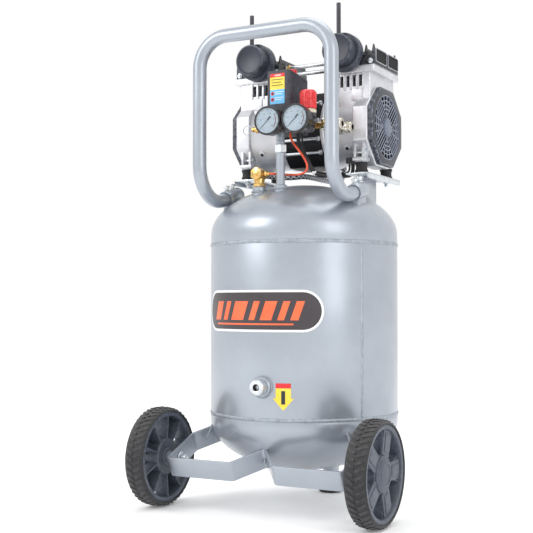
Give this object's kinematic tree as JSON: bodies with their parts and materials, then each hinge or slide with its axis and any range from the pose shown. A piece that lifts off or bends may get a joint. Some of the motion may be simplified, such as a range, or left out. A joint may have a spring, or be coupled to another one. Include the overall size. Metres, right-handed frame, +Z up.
{
  "type": "air compressor",
  "caption": "Vertical-tank oil-free air compressor on two wheels, with a tubular handle, twin pump heads, pressure switch, gauges and quick couplers.",
  "frame": {"origin": "middle of the footprint on the floor", "axes": "+Z up, handle and wheels towards -Y, motor shaft along X"},
  "size_m": [0.465, 0.428, 0.919],
  "materials": {
    "silver_paint": "satin metallic",
    "cast_aluminium": "satin cast",
    "zinc_plate": "zinc plated",
    "bright_steel": "ground",
    "brass": "satin",
    "nickel": "nickel plated",
    "black_plastic": "matt",
    "slate_plastic": "satin",
    "black_metal": "semi-matt black",
    "rubber": "matt",
    "tyre_rubber": "matt",
    "red_plastic": "gloss",
    "orange_tube": "gloss",
    "steel_braid": "braided",
    "gauge_case": "gloss black"
  },
  "bodies": {
    "compressor": {"tank_shell": "silver_paint", "tank_top_head": "silver_paint", "tank_bottom_head": "silver_paint", "wheel_bracket": "silver_paint", "rear_leg": "silver_paint", "handle_tube": "silver_paint", "riser_pipe": "silver_paint", "handle_socket_left": "silver_paint", "handle_socket_right": "silver_paint", "mount_leg_left": "silver_paint", "mount_leg_right": "silver_paint", "inspection_plug": "zinc_plate", "axle_left": "zinc_plate", "axle_right": "zinc_plate", "mount_plate_left": "zinc_plate", "mount_plate_right": "zinc_plate", "filter_left": "slate_plastic", "filter_right": "slate_plastic", "rear_foot": "rubber", "rubber_mount_front_left": "rubber", "rubber_mount_front_right": "rubber", "rubber_mount_rear_left": "rubber", "rubber_mount_rear_right": "rubber", "stator": "black_metal", "cylinder_head_left": "black_metal", "cylinder_head_right": "black_metal", "switch_base": "black_metal", "regulator_body": "black_metal", "transfer_pipes": "bright_steel", "crankcase_left": "cast_aluminium", "crankcase_right": "cast_aluminium", "fan_cover_left": "black_plastic", "fan_cover_right": "black_plastic", "switch_cover": "black_plastic", "motor_leads": "black_plastic", "gauge_left": "gauge_case", "gauge_right": "gauge_case", "outlet_manifold": "nickel", "safety_valve": "brass", "check_valve": "brass", "drain_valve": "brass", "delivery_hose": "steel_braid", "unloader_tube": "orange_tube"},
    "wheel_left": {"tyre_left": "tyre_rubber", "rim_left": "slate_plastic"},
    "wheel_right": {"tyre_right": "tyre_rubber", "rim_right": "slate_plastic"},
    "rotor": {"rotor_shaft": "bright_steel", "fan_left": "black_plastic", "fan_right": "black_plastic"},
    "piston_left": {"piston_left": "cast_aluminium"},
    "piston_right": {"piston_right": "cast_aluminium"},
    "needle_left": {"needle_left": "black_metal"},
    "needle_right": {"needle_right": "black_metal"},
    "regulator_knob": {"regulator_knob": "red_plastic"},
    "switch_knob": {"switch_knob": "red_plastic"},
    "coupler_sleeve_front": {"coupler_sleeve_front": "nickel"},
    "coupler_sleeve_rear": {"coupler_sleeve_rear": "nickel"},
    "safety_ring": {"safety_ring": "bright_steel"},
    "drain_handle": {"drain_handle": "brass"}
  },
  "joints": [
    {"name": "wheel_left_spin", "type": "hinge", "parent": "compressor", "child": "wheel_left", "pos_m": [-0.2125, -0.124, 0.09], "axis": [1, 0, 0], "continuous": true},
    {"name": "wheel_right_spin", "type": "hinge", "parent": "compressor", "child": "wheel_right", "pos_m": [0.2125, -0.124, 0.09], "axis": [1, 0, 0], "continuous": true},
    {"name": "motor_spin", "type": "hinge", "parent": "compressor", "child": "rotor", "pos_m": [0, 0.095, 0.699], "axis": [1, 0, 0], "continuous": true},
    {"name": "piston_left_stroke", "type": "slide", "parent": "compressor", "child": "piston_left", "axis": [0, 0, 1], "range_m": [-0.006, 0.006]},
    {"name": "piston_right_stroke", "type": "slide", "parent": "compressor", "child": "piston_right", "axis": [0, 0, 1], "range_m": [-0.006, 0.006]},
    {"name": "needle_left_turn", "type": "hinge", "parent": "compressor", "child": "needle_left", "pos_m": [0, -0.1064, 0.694], "axis": [0, 1, 0], "range_deg": [0, 270], "stiffness_Nm_per_rad": 0.0002, "springref_deg": -17.19},
    {"name": "needle_right_turn", "type": "hinge", "parent": "compressor", "child": "needle_right", "pos_m": [0.055, -0.1064, 0.694], "axis": [0, 1, 0], "range_deg": [0, 270], "stiffness_Nm_per_rad": 0.0002, "springref_deg": -17.19},
    {"name": "regulator_turn", "type": "hinge", "parent": "compressor", "child": "regulator_knob", "pos_m": [0.055, -0.053, 0.718], "axis": [0, 0, 1], "range_deg": [0, 1260]},
    {"name": "switch_knob_pull", "type": "slide", "parent": "compressor", "child": "switch_knob", "axis": [0, 0, 1], "range_m": [0, 0.006]},
    {"name": "coupler_front_pull", "type": "slide", "parent": "compressor", "child": "coupler_sleeve_front", "axis": [1, 0, 0], "range_m": [-0.005, 0], "stiffness_N_per_m": 300, "springref_m": 0.004},
    {"name": "coupler_rear_pull", "type": "slide", "parent": "compressor", "child": "coupler_sleeve_rear", "axis": [1, 0, 0], "range_m": [-0.005, 0], "stiffness_N_per_m": 300, "springref_m": 0.004},
    {"name": "safety_ring_pull", "type": "slide", "parent": "compressor", "child": "safety_ring", "axis": [-1, 0, 0], "range_m": [0, 0.003], "stiffness_N_per_m": 400, "springref_m": -0.002},
    {"name": "drain_turn", "type": "hinge", "parent": "compressor", "child": "drain_handle", "pos_m": [0, 0.039, 0.0367], "axis": [0, 0, 1], "range_deg": [0, 360]}
  ]
}
